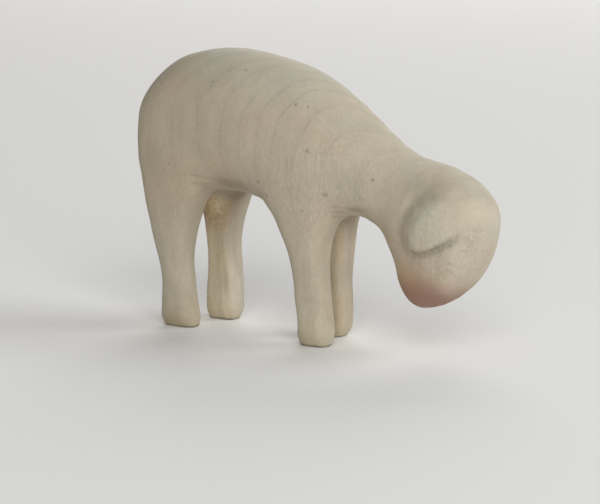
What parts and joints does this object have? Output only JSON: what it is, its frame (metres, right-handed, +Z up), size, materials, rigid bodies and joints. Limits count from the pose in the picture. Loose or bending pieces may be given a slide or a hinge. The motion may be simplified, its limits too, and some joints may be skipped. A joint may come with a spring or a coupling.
{
  "type": "carved wooden sheep figurine",
  "caption": "Hand-carved, whitewashed wooden figurine of a grazing shorn sheep that stands on flat feet, with its head lowered.",
  "frame": {"origin": "on the floor, under the middle of the whole sheep's box", "axes": "+X towards the head, +Y to the sheep's left, +Z up"},
  "size_m": [0.0958, 0.0272, 0.0666],
  "materials": {
    "white_wood": "limewood under a thin, matt, cream-white wash, fine grain and growth rings showing",
    "ear_wood": "the same washed limewood, with a grey-green stain rubbed into the groove round the ear",
    "muzzle_wood": "the same washed limewood, with a soft pink-brown stain that fades upwards"
  },
  "bodies": {
    "root": {"trunk": "white_wood", "neck": "white_wood", "head": "white_wood", "muzzle": "muzzle_wood", "ear_left": "ear_wood", "ear_right": "ear_wood", "tail": "white_wood", "leg_front_left": "white_wood", "leg_front_right": "white_wood", "leg_hind_left": "white_wood", "leg_hind_right": "white_wood"}
  },
  "joints": []
}
